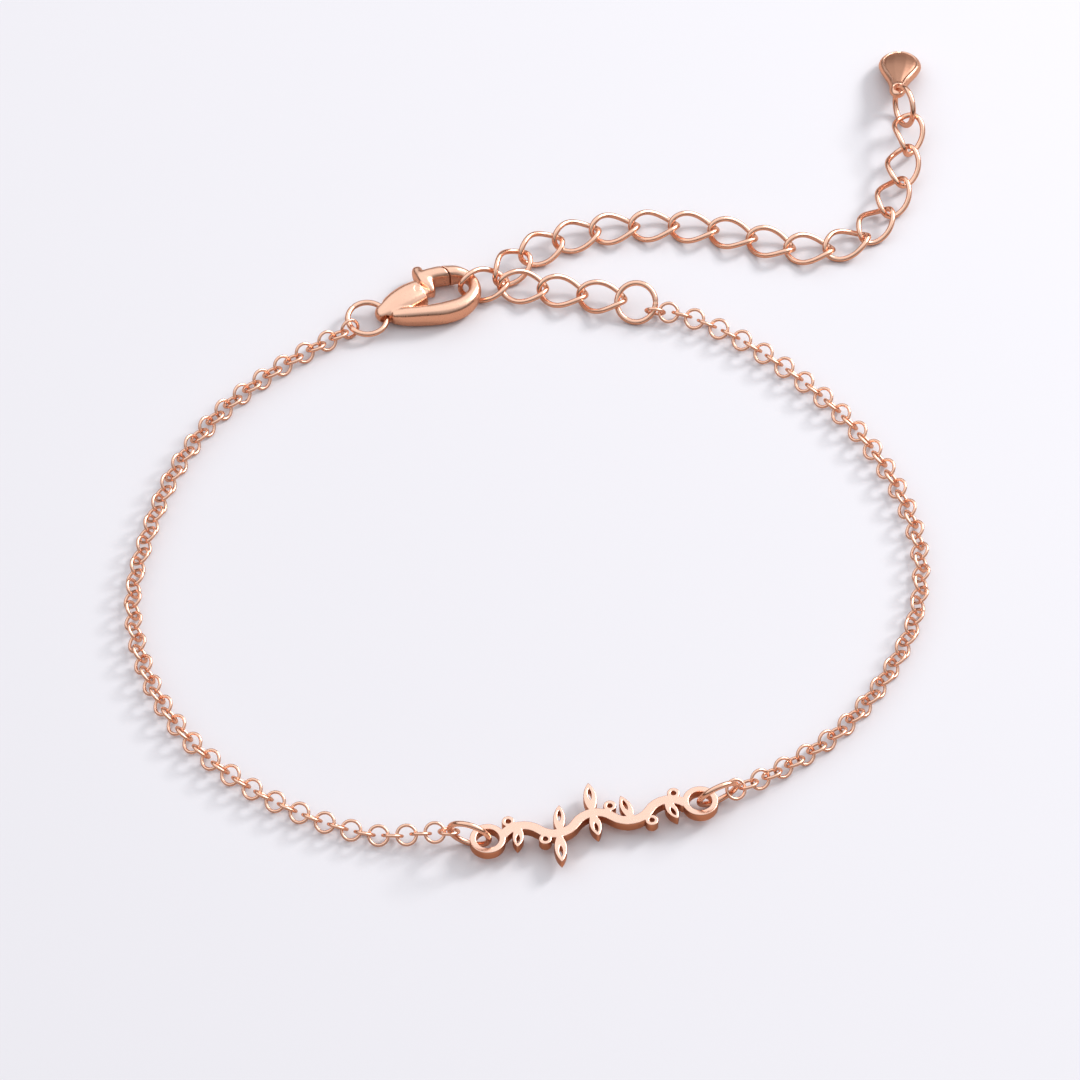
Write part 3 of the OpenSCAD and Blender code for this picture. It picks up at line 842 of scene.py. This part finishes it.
@dataclass(frozen=True)
class Studio:
    """Floor, soft light and the camera of the picture, with lengths in metres and angles in degrees."""

    target: tuple[float, float, float] = (1.0 * MM, 2.6 * MM, 0.0)
    elevation: float = 51.9
    distance: float = 622.8 * MM
    focal_px: float = 8570.0
    frame_px: float = 1080.0
    sensor_mm: float = 36.0
    clip: tuple[float, float] = (0.01, 20.0)
    floor_half: float = 1.5
    key: tuple[float, float] = (35.0, 32.0)         # azimuth and height of the brightest light
    key_power: float = 1.4
    key_size: float = 0.13
    key_reach: float = 0.5
    glint: float = 6.0                              # what metal mirrors of the key
    glint_edge: tuple[float, float] = (28.0, 20.0)  # where that begins and is full
    fill: float = 1.15
    near_side: tuple[float, float] = (-0.8, 0.0)    # the camera's side, where the sky is dimmer
    near_share: float = 0.45
    stops: tuple[tuple[float, tuple[float, float, float]], ...] = (
        (0.0, (0.05, 0.025, 0.015)), (0.27, (0.08, 0.04, 0.025)), (0.44, (0.95, 0.95, 0.98)),
        (0.8, (1.0, 1.0, 1.03)), (1.0, (0.92, 0.92, 0.95)))

    @staticmethod
    def towards(azimuth: float, elevation: float) -> Vector:
        """Finds the unit direction at degrees from +X towards +Y and degrees above the floor."""
        a, e = math.radians(azimuth), math.radians(elevation)
        return Vector((math.cos(a) * math.cos(e), math.sin(a) * math.cos(e), math.sin(e)))

    def floor(self) -> None:
        """Lays the pale floor."""
        half = self.floor_half
        corners = np.array([(-half, -half, 0), (half, -half, 0), (half, half, 0), (-half, half, 0)])
        make_object("floor", corners, [(0, 1, 2, 3)], PaleFloor().material())

    def camera(self) -> None:
        """Places the camera at the picture's angle."""
        lens = bpy.data.cameras.new("camera")
        lens.sensor_width = self.sensor_mm
        lens.lens = self.focal_px / self.frame_px * self.sensor_mm
        lens.clip_start, lens.clip_end = self.clip
        camera = bpy.data.objects.new("camera", lens)
        tilt = math.radians(self.elevation)
        camera.location = Vector(self.target) + self.distance * Vector((0, -math.cos(tilt), math.sin(tilt)))
        camera.rotation_euler = (math.pi / 2 - tilt, 0, 0)
        bpy.context.scene.collection.objects.link(camera)
        bpy.context.scene.camera = camera

    def light(self) -> None:
        """Adds the soft key lamp, which looks at the bracelet and which metal doesn't mirror."""
        lamp = bpy.data.lights.new("key", "AREA")
        lamp.energy = self.key_power
        lamp.size = self.key_size
        made = bpy.data.objects.new("key", lamp)
        made.location = self.key_reach * self.towards(*self.key)
        made.visible_glossy = False
        made.rotation_euler = (-made.location).to_track_quat("-Z", "Y").to_euler()
        bpy.context.scene.collection.objects.link(made)

    def sky(self) -> None:
        """Fills the room with pale light, dimmer on the camera's side and warm and dark low down."""
        world = bpy.data.worlds.new("room")
        world.use_nodes = True
        world.node_tree.nodes.clear()
        tree = Tree(world.node_tree)
        out = tree.add("ShaderNodeTexCoord").outputs["Generated"]
        way = tree.add("ShaderNodeSeparateXYZ", Vector=out)
        ramp = tree.add("ShaderNodeValToRGB", Fac=way.outputs["Z"])
        ramp.color_ramp.elements[0].position = self.stops[0][0]
        ramp.color_ramp.elements[1].position = self.stops[-1][0]
        for place, _ in self.stops[1:-1]:
            ramp.color_ramp.elements.new(place)
        for element, (_, tone) in zip(ramp.color_ramp.elements, self.stops):
            element.color = (*tone, 1)
        soft = {"interpolation_type": "SMOOTHSTEP"}
        side = tree.add("ShaderNodeMapRange", soft, Value=way.outputs["Y"], From_Min=self.near_side[0],
                        From_Max=self.near_side[1], To_Min=self.near_share * self.fill, To_Max=self.fill)
        near = tree.add("ShaderNodeVectorMath", {"operation": "DOT_PRODUCT"}, n0=out,
                        n1=self.towards(*self.key))
        outer, inner = (math.cos(math.radians(angle)) for angle in self.glint_edge)
        spot = tree.add("ShaderNodeMapRange", soft, Value=near.outputs["Value"], From_Min=outer,
                        From_Max=inner, To_Max=self.glint)
        mirrored = tree.add("ShaderNodeLightPath").outputs["Is Glossy Ray"]
        total = tree.math("ADD", side.outputs[0], tree.math("MULTIPLY", spot.outputs[0], mirrored))
        shade = tree.add("ShaderNodeBackground", Color=ramp.outputs[0], Strength=total)
        tree.add("ShaderNodeOutputWorld", Surface=shade.outputs[0])
        bpy.context.scene.world = world


def main() -> None:
    """Builds the bracelet and the room around it."""
    logging.basicConfig(level=logging.INFO, format="%(name)s: %(message)s")
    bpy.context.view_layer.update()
    studio = Studio()
    studio.camera()
    studio.floor()
    studio.sky()
    studio.light()
    bpy.context.scene.view_settings.view_transform = "Standard"
    wire = RoseGold("rose_gold_wire", (0.97, 0.62, 0.46), (0.9, 0.52, 0.36), 0.22).material()
    sheet = RoseGold("rose_gold_sheet", (0.98, 0.66, 0.52), (0.95, 0.6, 0.46), 0.24).material()
    # cut edge: rougher with drawn-out lines, and its darker colour is painted shade for what the walls mirror
    cut = RoseGold("rose_gold_cut_edge_painted_shade", (0.72, 0.36, 0.22), (0.58, 0.27, 0.15), 0.3, Surface.CUT).material()
    cast = RoseGold("rose_gold_cast", (0.97, 0.62, 0.46), (0.9, 0.52, 0.36), 0.28, Surface.CAST).material()
    # drop's field: rougher, with a darker colour that is painted shade
    painted_shade = RoseGold("rose_gold_field_painted_shade", (0.66, 0.36, 0.24), (0.54, 0.27, 0.17), 0.36, Surface.CAST).material()
    for side in ("left", "right"):
        CableChain(wire).build(side)
    CurbExtender(wire).build()
    RoundRings(wire).build()
    PiercedPlate(sheet, wall_painted_shade=cut).build()
    CastPiece(cast, slot="clasp").soften("clasp_body", "cast_clasp_body")
    CastPiece(cast, slot="clasp", body="lever").soften("clasp_lever", "cast_clasp_lever")
    FlatDrop(cast, field_painted_shade=painted_shade).build()
    PolishedPin(cast).build()


if __name__ == "__main__":
    main()
